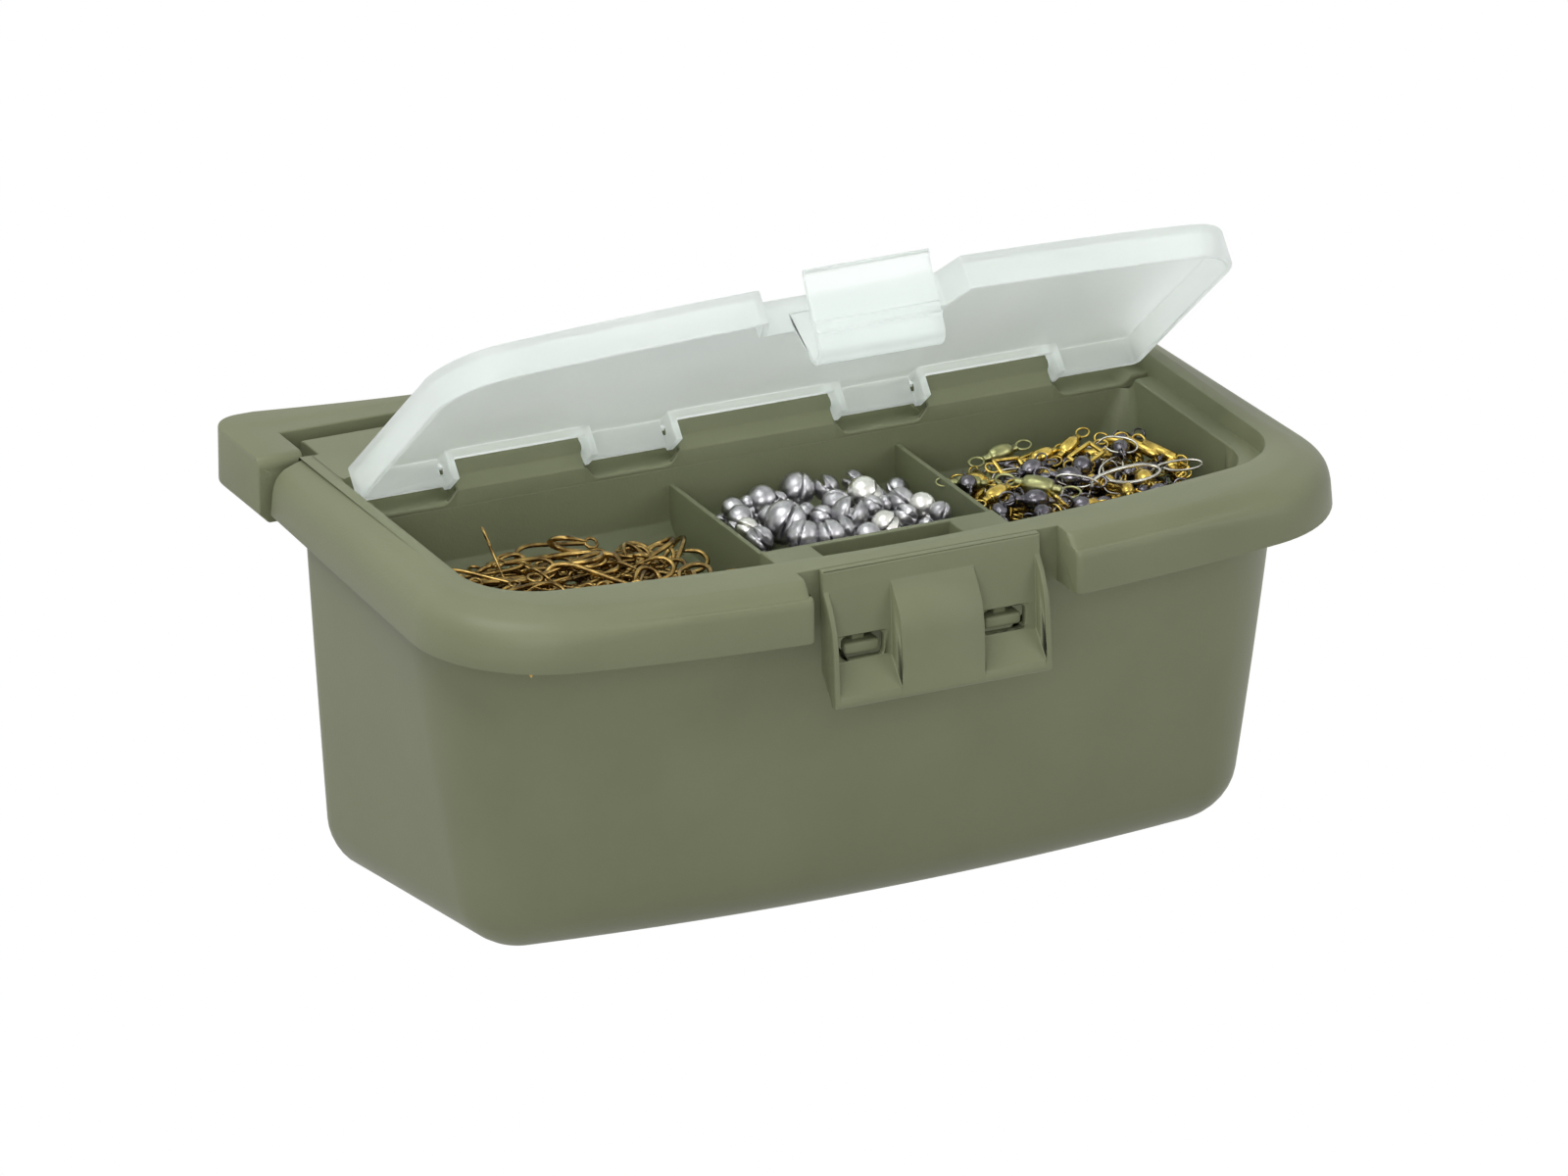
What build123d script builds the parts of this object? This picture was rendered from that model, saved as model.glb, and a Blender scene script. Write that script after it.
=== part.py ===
"""Belt bait box: bin with a rear loop, hinged tray lid, propped clear lid, latch, clasp and contents.

Origin at the middle of the bin's flat underside. X runs along the box, Y towards the wearer, Z up.
Every size is in millimetres.
"""
from build123d import *
import math
import os

os.makedirs("parts", exist_ok=True)

# Levels
deck_z = 90.0
wall = 2.2
seat_gap = 0.1
ledge_drop = 4.4
ledge_z = deck_z - ledge_drop
ledge_under = ledge_z - wall
tray_floor_z = 67.0
tray_wall = 1.8
skirt_drop = 12.5
skirt_bottom = deck_z - skirt_drop

# Plan of the tray lid
deck_front = -50.0
deck_half = 94.5
deck_bow = 410.0
deck_corner = 17.5
rim_width = 12.7
rim_taper = 2.9
rim_overhang = 17.0
rim_rear = 50.5
rim_round = 6.0
rim_core = 5.7
rail_ceiling = deck_z - rim_core
rail_rear = 50.2
outer_half = deck_half + rim_width
outer_half_rear = outer_half - rim_taper
outer_front = deck_front - rim_overhang
outer_corner = deck_corner + rim_width
pocket_rear = 35.0
pocket_front = 23.0

# Compartments
comp_half = 90.0
comp_front = deck_front + 8.0
comp_rear = 11.5
comp_corner = 15.0
divider_x = 27.0
divider_t = 1.2
block_rear = deck_front + 17.8
slot_half = 16.4
slot_rear = deck_front + 16.0
slot_front = deck_front + 2.9
slot_floor_z = deck_z - 16.0
lip_t = 1.2

# Catches on the bin
catch_tip = deck_front - 9.0
catch_root = deck_front - 3.5
catch_half = 4.1
catch_low = deck_z - 19.6
catch_high = deck_z - 17.0
stem_half = 1.5

# Contents
shot_size = 6.2
shot_pitch = 7.0
hook_wire = 1.2
swivel_size = 3.8
snap_wire = 0.9

# Bin
floor_t = 2.4
bin_bow = 573.0
flange_top = ledge_under - seat_gap
flange_under = flange_top - wall
bin_front_top = deck_front + 0.9
bin_rear_top = deck_front + 95.0
bin_front_bottom = deck_front + 14.4
bin_rear_bottom = deck_front + 90.2
bin_half_top = (102.9, 101.5)
bin_half_bottom = (89.7, 99.7)
bin_corner_top = 31.3
bin_corner_bottom = 12.5
bin_corner_rear = 8.0
bin_foot_round = 12.0
bin_wall = 2.1
foot_corner = 2.5
skirt_gap = 0.5
rear_flange_y = 45.8

# Rear loop
arm_in = 95.3
arm_out = 106.0
arm_front = 52.5
arm_top_round = 2.5
arm_drop = 15.0
loop_rear = 79.6
bar_front = 65.4
bar_bow = 480.0
loop_round = 2.4
loop_corner = 7.0

# Tray lid hinge
lid_hinge_y = 57.0
lid_hinge_z = deck_z - 6.0
hinge_bar_half = 92.8
hinge_bar_rear = 60.5
stud_r = 2.5
stud_len = 5.5
run_gap = 0.05

# Hinge blocks for the clear lid, as x ranges
blocks = ((-71.4, -41.1), (-18.6, 18.6), (41.1, 71.4))
clear_y = 30.2
clear_z = deck_z - 0.2
pivot_r = 1.2
pivot_len = 1.3
end_gap = 0.35

# Clear lid, measured in its own plane from the pivot line
lid_open = 40.5
lid_half = 94.0
lid_front = 75.0
lid_bow = 500.0
lid_corner = 16.0
panel_t = 1.6
panel_top = 4.2
lid_skirt = 7.6
lid_wall = 1.5
notch_d = 66.0
notch_half = 21.0
rib_t = 1.7
clasp_half = 14.7

# Latch
latch_half = 25.6
latch_gap_half = 30.8
latch_gap = 0.15
latch_back = deck_front - 6.0
window_x = 16.7
window_w = 10.1
window_low = deck_z - 20.6
window_high = deck_z - 15.2
bulge_half = 9.8
fin_t = 1.3


def bowed_outline(half_front, half_rear, front, rear, bow, r_front, r_rear):
    """Closed outline with a bowed front, straight ends and rear, and rounded corners."""
    side = front + bow - math.sqrt(bow**2 - half_front**2)
    front_left = (-half_front, side)
    front_right = (half_front, side)
    rear_right = (half_rear, rear)
    rear_left = (-half_rear, rear)
    edges = [
        Edge.make_three_point_arc(front_left, (0, front), front_right),
        Edge.make_line(front_right, rear_right),
        Edge.make_line(rear_right, rear_left),
        Edge.make_line(rear_left, front_left),
    ]
    face = Face(Wire(edges))
    face = face.fillet_2d(r_front, [v for v in face.vertices() if v.Y < side + 0.01])
    if r_rear > 0:
        face = face.fillet_2d(r_rear, [v for v in face.vertices() if v.Y > rear - 0.01])
    return face


def block_at(x0, x1, y0, y1, z0, z1):
    """Plain block between the given limits."""
    return Solid.make_box(x1 - x0, y1 - y0, z1 - z0, Plane((x0, y0, z0)))


def mirrored(x0, x1):
    """The same stretch of X on the right and on the left."""
    return ((x0, x1), (-x1, -x0))


def polygon(points):
    """Flat face from a list of corners in the sketch's own plane."""
    return Face(Wire.make_polygon([(a, b, 0) for a, b in points], close=True))


def from_deck(points):
    """Turn (distance behind the deck's front edge, height over the deck) into (Y, Z)."""
    return [(deck_front + y, deck_z + z) for y, z in points]


def arc_points(centre, radius, first, last, count):
    """Corners along a circle, angles in degrees."""
    step = (last - first) / (count - 1)
    angles = [math.radians(first + step * i) for i in range(count)]
    return [(centre[0] + radius * math.cos(a), centre[1] + radius * math.sin(a)) for a in angles]


def bin_section(z, inset):
    """The bin's outline at height z, moved in by inset; it widens evenly from the foot to the flange."""
    share = z / flange_top
    half_front = bin_half_bottom[0] + (bin_half_top[0] - bin_half_bottom[0]) * share
    half_rear = bin_half_bottom[1] + (bin_half_top[1] - bin_half_bottom[1]) * share
    front = bin_front_bottom + (bin_front_top - bin_front_bottom) * share
    rear = bin_rear_bottom + (bin_rear_top - bin_rear_bottom) * share
    corner = bin_corner_bottom + (bin_corner_top - bin_corner_bottom) * share
    return bowed_outline(half_front - inset, half_rear - inset, front + inset, rear - inset,
                         bin_bow - inset, corner - inset, max(bin_corner_rear - inset, foot_corner))


def tub_form(floor, inset, foot_radius, steps):
    """Drafted tub with a rounded foot, lofted through steps along the rounding and up to the flange."""
    with BuildPart() as form:
        for i in range(steps + 1):
            turn = math.radians(90 * i / steps)
            with BuildSketch(Plane.XY.offset(floor + foot_radius * (1 - math.cos(turn)))):
                add(bin_section(floor + foot_radius * (1 - math.cos(turn)),
                                inset + foot_radius * (1 - math.sin(turn))))
        with BuildSketch(Plane.XY.offset(flange_top)):
            add(bin_section(flange_top, inset))
        loft(ruled=True)
    return form.part


# Bin: tub, rim flange, catches and rear loop in one moulding
with BuildPart() as bin_tub:
    add(tub_form(0.0, 0.0, bin_foot_round, 3))
    # Rim flange, inside the tray lid's skirt
    flange_half = outer_half - wall - skirt_gap
    with BuildSketch(Plane.XY.offset(flange_under)):
        add(bowed_outline(flange_half, flange_half - rim_taper, outer_front + wall + skirt_gap, rear_flange_y,
                          deck_bow + rim_overhang, outer_corner - wall - skirt_gap, 0))
    extrude(amount=wall)
    # Cut back behind the latch
    cut_half = latch_gap_half + 2.6
    add(block_at(-cut_half, cut_half, outer_front - 5, latch_back + 0.6,
                 flange_under - 1, flange_top + 1), mode=Mode.SUBTRACT)
    # Loop: two arms and the bar, bowed to the wearer
    bar_mid = loop_rear - (bar_bow - math.sqrt(bar_bow**2 - arm_in**2))
    with BuildSketch(Plane.XY.offset(deck_z - arm_drop)):
        with BuildLine():
            ThreePointArc((-arm_in, loop_rear), (0, bar_mid), (arm_in, loop_rear))
            Polyline((arm_in, loop_rear), (arm_out, loop_rear), (arm_out, arm_front),
                     (arm_in, arm_front), (arm_in, bar_front), (-arm_in, bar_front),
                     (-arm_in, arm_front), (-arm_out, arm_front), (-arm_out, loop_rear),
                     (-arm_in, loop_rear))
        make_face()
    extrude(amount=arm_drop)
    outer_corners = [e for e in bin_tub.edges().filter_by(Axis.Z)
                     if e.center().Y > loop_rear - 0.1 and abs(e.center().X) > arm_out - 0.1]
    fillet(outer_corners, loop_corner)
    loop_under = [e for e in bin_tub.edges()
                  if abs(e.center().Z - (deck_z - arm_drop)) < 0.01
                  and (abs(e.center().X) > arm_out - 4 or e.center().Y > bar_front + 1)]
    chamfer(loop_under, loop_round)
    arm_tops = [e for e in bin_tub.edges().filter_by(Axis.X)
                if abs(e.center().Z - deck_z) < 0.01 and abs(e.center().Y - arm_front) < 0.01]
    fillet(arm_tops, arm_top_round)
    for x0, x1 in mirrored(arm_in, flange_half - rim_taper):
        add(block_at(x0, x1, rear_flange_y - 0.6, arm_front + 1, deck_z - 12.6, flange_top))
    # Inside of the tub
    add(tub_form(floor_t, bin_wall, bin_foot_round - 2.0, 2), mode=Mode.SUBTRACT)
    # Thinner wall behind the latch, clear of the clasp's barbs
    add(block_at(-slot_half, slot_half, bin_front_top + 1.6, bin_front_top + 6,
                 deck_z - 15, flange_top + 1), mode=Mode.SUBTRACT)
    # Catches that stand in the latch's windows: a stem with a cross bar
    for side in (-1, 1):
        x = side * window_x
        add(block_at(x - stem_half, x + stem_half, latch_back - 0.5, bin_front_top + 1.2,
                     catch_low, flange_top))
        with BuildSketch(Plane.XY.offset(catch_low)):
            add(polygon([(x - catch_half, catch_root), (x - catch_half, catch_tip + 1),
                         (x - catch_half + 1, catch_tip), (x + catch_half - 1, catch_tip),
                         (x + catch_half, catch_tip + 1), (x + catch_half, catch_root)]))
        extrude(amount=catch_high - catch_low)
    # Bores for the tray lid's studs
    for side in (-1, 1):
        bore_plane = Plane((side * (arm_in - 1), lid_hinge_y, lid_hinge_z), z_dir=(side, 0, 0))
        add(Solid.make_cylinder(stud_r + run_gap, stud_len - 1.0, bore_plane), mode=Mode.SUBTRACT)
bin_tub.part.label = "bin"
export_step(bin_tub.part, "parts/bin.step")


# Tray lid: rim, skirt, compartments, slot block, hinge blocks and rear hinge bar in one moulding
with BuildPart() as tray_lid:
    with BuildSketch(Plane.XY.offset(skirt_bottom)):
        add(bowed_outline(outer_half, outer_half_rear, outer_front, rim_rear,
                          deck_bow + rim_overhang, outer_corner, 0))
    extrude(amount=skirt_drop)
    top_edges = [e for e in tray_lid.edges().group_by(Axis.Z)[-1] if e.center().Y < rim_rear - 0.1]
    fillet(top_edges, rim_round)
    # Hollow underside, in two steps under the rounded edge
    hollows = ((wall, skirt_bottom - 1, rail_ceiling), (rim_core, rail_ceiling - 0.3, deck_z - wall))
    for inset, z0, z1 in hollows:
        with BuildSketch(Plane.XY.offset(z0)):
            add(bowed_outline(outer_half - inset, outer_half_rear - inset, outer_front + inset,
                              rim_rear - wall, deck_bow + rim_overhang - inset,
                              outer_corner - inset, 0))
        extrude(amount=z1 - z0, mode=Mode.SUBTRACT)
    # Open ends of the side rails, round the bin's ribs
    for x0, x1 in mirrored(hinge_bar_half + 1.0, outer_half_rear - wall):
        add(block_at(x0, x1, rim_rear - 10, rim_rear + 1, skirt_bottom - 1, rail_ceiling),
            mode=Mode.SUBTRACT)
    for x0, x1 in mirrored(hinge_bar_half + 1.0, outer_half):
        add(block_at(x0, x1, rail_rear, rim_rear + 1, skirt_bottom - 1, deck_z + 1),
            mode=Mode.SUBTRACT)
    # Crease behind the front bead, running out at the corners
    for side in (-1, 1):
        with BuildSketch(Plane.YZ):
            add(polygon(from_deck([(-11.8, 0.2), (-13.9, -3.1), (-15.0, -1.5), (-15.0, 0.2)])))
        revolve(axis=Axis((0, deck_front + 690, 0), (0, 0, side)), revolution_arc=6.5,
                mode=Mode.SUBTRACT)
    # Gap for the latch, with closed skirt ends
    for x0, x1 in mirrored(latch_gap_half, latch_gap_half + tray_wall):
        add(block_at(x0, x1, outer_front + 1.8, latch_back + 0.4, skirt_bottom, deck_z - 1.5))
    add(block_at(-latch_gap_half, latch_gap_half, outer_front - 5, latch_back,
                 skirt_bottom - 1, deck_z + 1), mode=Mode.SUBTRACT)
    for x0, x1 in mirrored(latch_half + 2.6, latch_gap_half):
        add(block_at(x0, x1, latch_back - 1, latch_back + 2, skirt_bottom - 1, deck_z + 1),
            mode=Mode.SUBTRACT)
    # Drop wall and ledge plate
    with BuildSketch(Plane.XY.offset(ledge_under)):
        add(bowed_outline(deck_half + tray_wall, deck_half + tray_wall, deck_front - tray_wall,
                          pocket_rear + tray_wall, deck_bow + tray_wall, deck_corner + tray_wall, 2.0))
    extrude(amount=deck_z - 1.0 - ledge_under)
    # Tray under the ledge
    with BuildSketch(Plane.XY.offset(tray_floor_z - tray_wall)):
        add(bowed_outline(comp_half + tray_wall, comp_half + tray_wall, comp_front - tray_wall,
                          comp_rear + tray_wall, bin_bow, comp_corner + tray_wall, 4.0))
    extrude(amount=ledge_z - 1.0 - tray_floor_z + tray_wall)
    add(block_at(-slot_half - tray_wall, slot_half + tray_wall, deck_front + 5.2, block_rear,
                 slot_floor_z - tray_wall, ledge_z - 1.0))
    # Recess down to the ledge, and the pockets behind it for the clear lid's tabs
    with BuildSketch(Plane.XY.offset(ledge_z)):
        add(bowed_outline(deck_half, deck_half, deck_front, pocket_rear, deck_bow, deck_corner, 2.0))
    extrude(amount=ledge_drop + 1, mode=Mode.SUBTRACT)
    add(block_at(-deck_half + 1, deck_half - 1, pocket_front, pocket_rear, ledge_z - 0.6, ledge_z + 1),
        mode=Mode.SUBTRACT)
    # Compartments
    with BuildSketch(Plane.XY.offset(tray_floor_z)):
        add(bowed_outline(comp_half, comp_half, comp_front, comp_rear, bin_bow, comp_corner, 3.0))
    extrude(amount=ledge_z + 1 - tray_floor_z, mode=Mode.SUBTRACT)
    for side in (-1, 1):
        x = side * divider_x
        add(block_at(x - divider_t / 2, x + divider_t / 2, comp_front - 0.5, comp_rear + 0.5,
                     tray_floor_z - 0.5, ledge_z))
    add(block_at(-divider_x, divider_x, comp_front - 0.5, block_rear, tray_floor_z - 0.5, ledge_z))
    # Slot for the clear lid's clasp, with a thin lip at its front
    add(block_at(-slot_half, slot_half, slot_front, slot_rear, slot_floor_z, ledge_z + 1),
        mode=Mode.SUBTRACT)
    add(block_at(-slot_half, slot_half, deck_front - 0.5, slot_front, ledge_under - 1, ledge_z - lip_t),
        mode=Mode.SUBTRACT)
    add(block_at(-divider_x + 2, divider_x - 2, comp_front + 2, block_rear - 2,
                 tray_floor_z - 3, slot_floor_z - tray_wall), mode=Mode.SUBTRACT)
    # Hinge blocks with their studs
    for x0, x1 in blocks:
        with BuildSketch(Plane.YZ.offset(x0)):
            add(polygon(from_deck([(66.0, -5.5), (66.0, -4.4), (70.0, -4.15), (74.2, -3.5), (75.7, -2.7),
                                   (77.0, -1.3), (78.0, 0.5),
                                   (78.8, 1.9), (79.7, 2.5), (80.9, 2.55), (82.0, 2.1), (83.5, 0.8),
                                   (85.0, 0.0), (86.0, -0.5), (86.0, -5.5)])))
        extrude(amount=x1 - x0)
        for x, direction in ((x0, -1), (x1, 1)):
            stud_plane = Plane((x - 0.5 * direction, clear_y, clear_z), z_dir=(direction, 0, 0))
            add(Solid.make_cylinder(pivot_r, pivot_len + 0.5, stud_plane))
    # Rear hinge bar with its studs
    with BuildSketch(Plane.YZ.offset(-hinge_bar_half)):
        add(polygon([(rim_rear - 1, deck_z), (lid_hinge_y + 1.6, deck_z),
                     (hinge_bar_rear - 0.4, deck_z - 0.6),
                     (hinge_bar_rear, deck_z - 1.6), (hinge_bar_rear, deck_z - 8.6),
                     (hinge_bar_rear - 0.8, deck_z - 9.9), (hinge_bar_rear - 2.2, deck_z - 10.5),
                     (lid_hinge_y - 2.6, deck_z - 10.5), (lid_hinge_y - 4.4, deck_z - 9.6),
                     (lid_hinge_y - 5.4, deck_z - 8.0), (lid_hinge_y - 5.4, deck_z - 4.5),
                     (rim_rear - 1, deck_z - 4.5)]))
    extrude(amount=2 * hinge_bar_half)
    for side in (-1, 1):
        stud_plane = Plane((side * (hinge_bar_half - 1), lid_hinge_y, lid_hinge_z), z_dir=(side, 0, 0))
        add(Solid.make_cylinder(stud_r, stud_len, stud_plane))
tray_lid.part.label = "tray_lid"
export_step(tray_lid.part, "parts/tray_lid.step")


# Front latch: windowed tab with a thumb bulge and two fins
with BuildPart() as front_latch:
    with BuildSketch(Plane.YZ.offset(-latch_half)):
        add(polygon(from_deck([(-6 - latch_gap, 0), (-7.75, 0), (-8.15, -0.4), (-8.4, -4), (-9.2, -15),
                               (-9.3, -21), (-14.2, -26.6), (-14.6, -28), (-14.6, -28.7), (-13.9, -29.3),
                               (-12.6, -29.3), (-11.7, -27.6), (-7.4, -22.4), (-7.2, -15), (-6.7, -4)])))
    extrude(amount=2 * latch_half)
    for x0, x1 in mirrored(window_x - window_w / 2, window_x + window_w / 2):
        add(block_at(x0, x1, deck_front - 12, deck_front - 5, window_low, window_high),
            mode=Mode.SUBTRACT)
    for x0, x1 in mirrored(latch_half - fin_t, latch_half):
        with BuildSketch(Plane.YZ.offset(x0)):
            add(polygon(from_deck([(-7.6, -3.6), (-10.7, -7.7), (-12.8, -12.4), (-13.6, -17), (-14.2, -24),
                                   (-14.6, -28), (-13.0, -28.5), (-9.0, -22), (-8.4, -15)])))
        extrude(amount=fin_t)
    with BuildSketch(Plane.YZ.offset(-bulge_half)):
        add(polygon(from_deck([(-7.4, -3.0), (-10.6, -7.4), (-12.9, -11), (-14.0, -16), (-14.4, -22),
                               (-14.6, -28), (-14.6, -28.7), (-12.8, -29.3), (-8.4, -22), (-8.4, -15)])))
    extrude(amount=2 * bulge_half)
    with BuildSketch(Plane.YZ.offset(-bulge_half + 1.6)):
        add(polygon(from_deck([(-6.0, -7), (-8.6, -7.8), (-11.0, -11.6), (-12.1, -16), (-12.5, -22),
                               (-12.6, -28), (-12.6, -31), (-6.0, -31)])))
    extrude(amount=2 * bulge_half - 3.2, mode=Mode.SUBTRACT)
front_latch.part.label = "front_latch"
export_step(front_latch.part, "parts/front_latch.step")


# Clear lid in its own plane: the plane's origin is on the pivot line and its Y runs rearwards
tilt = math.radians(lid_open)
lid_plane = Plane((0, clear_y, clear_z), x_dir=(1, 0, 0), z_dir=(0, math.sin(tilt), math.cos(tilt)))
lid_rear = 1.2
skirt_low = panel_top - lid_skirt
bend = (-72.4, -10.2)
bend_out = 3.6
bend_in = 2.1
bend_gap = 0.12


def lid_side_plane(x):
    """Plane across the clear lid at the given X, with local axes rearwards and up from the lid."""
    return Plane((x, clear_y, clear_z), x_dir=(0, math.cos(tilt), -math.sin(tilt)), z_dir=(1, 0, 0))


with BuildPart() as clear_lid:
    with BuildSketch(lid_plane.offset(skirt_low)):
        add(bowed_outline(lid_half, lid_half, -lid_front, lid_rear, lid_bow, lid_corner, 2.0))
        add(polygon([(-notch_half, -notch_d), (-notch_half - 3.5, -lid_front - 2),
                     (notch_half + 3.5, -lid_front - 2), (notch_half, -notch_d)]), mode=Mode.SUBTRACT)
    extrude(amount=lid_skirt)
    with BuildSketch(lid_plane.offset(skirt_low - 1)):
        add(bowed_outline(lid_half - lid_wall, lid_half - lid_wall, -lid_front + lid_wall,
                          lid_rear - lid_wall, lid_bow - lid_wall, lid_corner - lid_wall, 1.0))
        add(polygon([(-notch_half - lid_wall, -notch_d + lid_wall),
                     (-notch_half - lid_wall - 3.5, -lid_front - 2),
                     (notch_half + lid_wall + 3.5, -lid_front - 2),
                     (notch_half + lid_wall, -notch_d + lid_wall)]), mode=Mode.SUBTRACT)
    extrude(amount=lid_skirt + 1 - panel_t, mode=Mode.SUBTRACT)
    # Room for the hinge blocks, and the walls round it
    for x0, x1 in blocks:
        with BuildSketch(lid_plane.offset(0.7)):
            add(polygon([(x0 - end_gap - rib_t, -5.4), (x1 + end_gap + rib_t, -5.4),
                         (x1 + end_gap + rib_t, -3.9), (x0 - end_gap - rib_t, -3.9)]))
        extrude(amount=panel_top - 0.7)
        for a, b in ((x0 - end_gap - rib_t, x0 - end_gap), (x1 + end_gap, x1 + end_gap + rib_t)):
            with BuildSketch(lid_plane.offset(skirt_low - 0.7)):
                add(polygon([(a, -5.4), (b, -5.4), (b, lid_rear), (a, lid_rear)]))
            extrude(amount=lid_skirt + 0.7)
        with BuildSketch(lid_plane.offset(skirt_low - 2)):
            add(polygon([(x0 - end_gap, -3.9), (x1 + end_gap, -3.9),
                         (x1 + end_gap, lid_rear + 2), (x0 - end_gap, lid_rear + 2)]))
        extrude(amount=lid_skirt + 4, mode=Mode.SUBTRACT)
        for x, direction in ((x0 - end_gap, -1), (x1 + end_gap, 1)):
            pivot_plane = Plane((x - 0.1 * direction, clear_y, clear_z), z_dir=(direction, 0, 0))
            add(Solid.make_cylinder(pivot_r + run_gap, rib_t + 0.3, pivot_plane), mode=Mode.SUBTRACT)
    # Inner leg of the clasp and its half of the bend
    with BuildSketch(lid_side_plane(-clasp_half)):
        add(polygon([(-64.6, 0.5), (-64.6, -1.0), (-68.7, -9.4)]
                    + arc_points(bend, bend_out, 0, -88, 6)
                    + arc_points(bend, bend_in, -86, 0, 6)
                    + [(-70.2, -9.6), (-66.1, -1.2), (-66.1, 0.5)]))
    extrude(amount=2 * clasp_half)
clear_lid.part.label = "clear_lid"
export_step(clear_lid.part, "parts/clear_lid.step")

# Clasp: the outer leg with its half of the bend, two barbs and a finger lip
with BuildPart() as lid_clasp:
    with BuildSketch(lid_side_plane(-clasp_half)):
        add(polygon(arc_points(bend, bend_out, -92, -180, 6)
                    + [(-76.3, -8.7), (-77.1, -8.3), (-76.5, -7.5), (-76.75, -6.35), (-77.6, -6.0),
                       (-76.9, -5.5), (-78.9, 4.0), (-79.6, 4.5), (-79.6, 5.3), (-78.6, 5.6),
                       (-77.7, 5.0), (-75.4, -5.5)]
                    + arc_points(bend, bend_in, -180, -94, 6)))
    extrude(amount=2 * clasp_half)
lid_clasp.part.label = "lid_clasp"
export_step(lid_clasp.part, "parts/lid_clasp.step")


def ribbon(points, width):
    """Outline of a bent wire seen from above, from its centre line."""
    left = []
    right = []
    for i, (x, y) in enumerate(points):
        ax, ay = points[max(i - 1, 0)]
        bx, by = points[min(i + 1, len(points) - 1)]
        length = math.hypot(bx - ax, by - ay)
        nx = -(by - ay) / length * width / 2
        ny = (bx - ax) / length * width / 2
        left.append((x + nx, y + ny))
        right.append((x - nx, y - ny))
    return left + right[::-1]


def turned(points, angle, x, y):
    """Turn a list of points about the origin, then move it."""
    c = math.cos(math.radians(angle))
    s = math.sin(math.radians(angle))
    return [(x + a * c - b * s, y + a * s + b * c) for a, b in points]


def ring_face(radius, hole, angle, x, y):
    """Five-sided ring."""
    outer = turned(arc_points((0, 0), radius, 0, 288, 5), angle, x, y)
    inner = turned(arc_points((0, 0), hole, 0, 288, 5), angle, x, y)
    outer_wire = Wire.make_polygon([(a, b, 0) for a, b in outer], close=True)
    inner_wire = Wire.make_polygon([(a, b, 0) for a, b in inner], close=True)
    return Face(outer_wire, [inner_wire])


# Fish hooks: bent wires with a ring eye, heaped in the left compartment: the lowest stand on
# edge among each other, and two layers lie flat on their bends
hook_line = [(0, 0), (14.0, 0), (16.4, 1.0), (17.6, 3.2), (16.8, 5.6), (14.4, 6.8), (9.6, 6.2)]
hook_eye = 1.9
hook_hole = 0.8
hook_width = 6.8
flat_hooks_z = tray_floor_z + hook_eye + hook_width + hook_wire / 2
with BuildPart() as hooks_lower:
    for x in (-82.0, -57.5):
        for y in (-29.0, -16.5, -4.0):
            with BuildSketch(Plane((x, y, tray_floor_z + hook_eye), x_dir=(1, 0, 0), z_dir=(0, -1, 0))):
                add(polygon(ribbon(hook_line, hook_wire)))
                add(ring_face(hook_eye, hook_hole, 270, -1.2, 0))
            extrude(amount=hook_wire)
hooks_lower.part.label = "hooks_lower"
export_step(hooks_lower.part, "parts/hooks_lower.step")

hook_layers = (
    ("hooks_middle", 0, 90, -74.0, -32.0, 9.3, 22.4, 5, 2),
    ("hooks_upper", 1, 180, -62.5, -24.0, 24.0, 13.0, 2, 3),
)
for name, level, angle, x_start, y_start, x_step, y_step, columns, rows in hook_layers:
    with BuildPart() as hook_part:
        with BuildSketch(Plane.XY.offset(flat_hooks_z + level * hook_wire)):
            for i in range(columns):
                for j in range(rows):
                    x = x_start + i * x_step
                    y = y_start + j * y_step
                    add(polygon(turned(ribbon(hook_line, hook_wire), angle, x, y)))
                    ex, ey = turned([(-1.2, 0)], angle, x, y)[0]
                    add(ring_face(hook_eye, hook_hole, angle, ex, ey))
        extrude(amount=hook_wire)
    hook_part.part.label = name
    export_step(hook_part.part, "parts/" + name + ".step")

# Split shot: two layers of small faceted balls in the middle compartment
belt = arc_points((0, 0), shot_size / 2, 0, 300, 6)
cap = arc_points((0, 0), shot_size * 0.28, 0, 300, 6)
low_cap = [(a, b, 0) for a, b in cap]
middle = [(a, b, shot_size / 2) for a, b in belt]
high_cap = [(a, b, shot_size) for a, b in cap]
ball_faces = [Face(Wire.make_polygon(low_cap, close=True)), Face(Wire.make_polygon(high_cap, close=True))]
for low, high in ((low_cap, middle), (middle, high_cap)):
    for i in range(6):
        j = (i + 1) % 6
        ball_faces.append(Face(Wire.make_polygon([low[i], low[j], high[j], high[i]], close=True)))
ball = Solid(Shell(ball_faces))
shot_columns = 7
shot_rows = 5
shot_row_pitch = 8.2
shot_x = -(shot_columns - 1) * shot_pitch / 2
shot_y = block_rear + 4.2
bright = ((5, 1), (6, 3), (4, 4), (2, 4))
shot_groups = (
    ("split_shot_lower", 0, lambda i, j: True),
    ("split_shot_upper", 1, lambda i, j: (i, j) not in bright),
    ("split_shot_bright", 1, lambda i, j: (i, j) in bright),
)
for name, level, wanted in shot_groups:
    with BuildPart() as shot_part:
        for i in range(shot_columns):
            for j in range(shot_rows):
                if wanted(i, j):
                    place = (shot_x + i * shot_pitch, shot_y + j * shot_row_pitch,
                             tray_floor_z + level * shot_size)
                    add(ball.moved(Location(place, (0, 0, 37 * i + 53 * j))))
    shot_part.part.label = name
    export_step(shot_part.part, "parts/" + name + ".step")

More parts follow.
